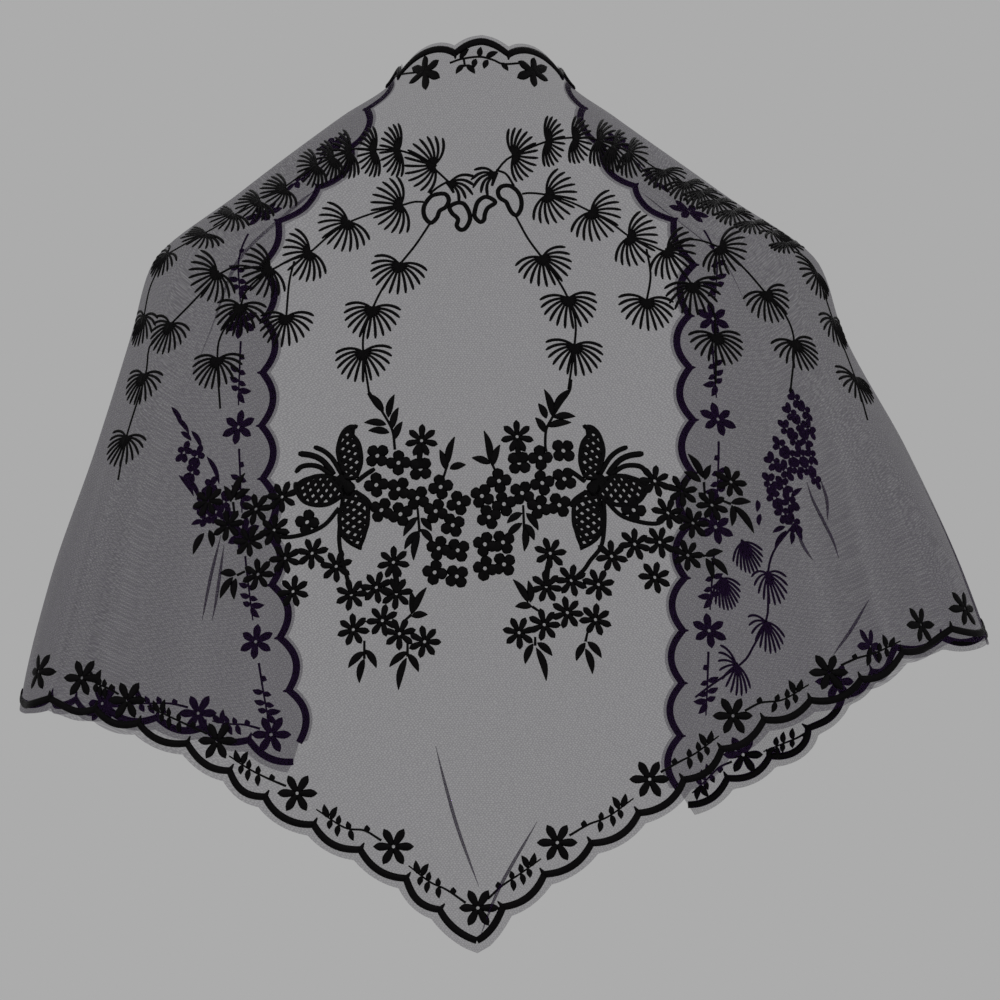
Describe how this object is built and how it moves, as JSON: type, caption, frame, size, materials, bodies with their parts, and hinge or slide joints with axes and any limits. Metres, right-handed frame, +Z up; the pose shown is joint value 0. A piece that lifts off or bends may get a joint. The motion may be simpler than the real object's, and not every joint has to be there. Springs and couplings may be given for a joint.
{
  "type": "lace headscarf",
  "caption": "Sheer triangular net scarf with scalloped corded edges and embroidered flowers, fronds and butterflies, held in the drape of a worn shawl.",
  "frame": {"origin": "centre of the neck opening at the level where the neck meets the shoulders, where the wearer's neck and shoulders hold the scarf", "axes": "+Z up; the back of the scarf, with its point, faces -Y and the open front faces +Y; +X is to the right when the back is looked at"},
  "size_m": [0.5687, 0.2122, 0.5315],
  "materials": {
    "net": "sheer fine black net with a violet cast",
    "satin_cord": "satin-stitched black cord",
    "embroidery": "black satin-stitch embroidery"
  },
  "bodies": {
    "root": {"net_ground": "net", "neck_edge_cord": "satin_cord", "hem_cord": "satin_cord", "hem_flower_1": "embroidery", "hem_flower_2": "embroidery", "hem_flower_3": "embroidery", "hem_flower_4": "embroidery", "hem_flower_5": "embroidery", "hem_flower_6": "embroidery", "hem_flower_7": "embroidery", "hem_flower_8": "embroidery", "hem_flower_9": "embroidery", "hem_flower_10": "embroidery", "hem_flower_11": "embroidery", "hem_flower_12": "embroidery", "neck_flower_1": "embroidery", "neck_flower_2": "embroidery", "upper_garland_left": "embroidery", "upper_garland_right": "embroidery", "lower_garland_left": "embroidery", "lower_garland_right": "embroidery", "hanging_garland_left": "embroidery", "hanging_garland_right": "embroidery", "frond_left_inner": "embroidery", "frond_left_middle": "embroidery", "frond_left_outer": "embroidery", "frond_right_inner": "embroidery", "frond_right_outer": "embroidery", "bean_loop_left_outer": "embroidery", "bean_loop_left_inner": "embroidery", "bean_loop_right_inner": "embroidery", "bean_loop_right_outer": "embroidery", "outer_spray_left": "embroidery", "outer_spray_right": "embroidery", "blossom_bank_left": "embroidery", "blossom_bank_right": "embroidery", "lower_spray_left": "embroidery", "lower_spray_right": "embroidery", "butterfly_left": "embroidery", "butterfly_right": "embroidery"}
  },
  "joints": []
}
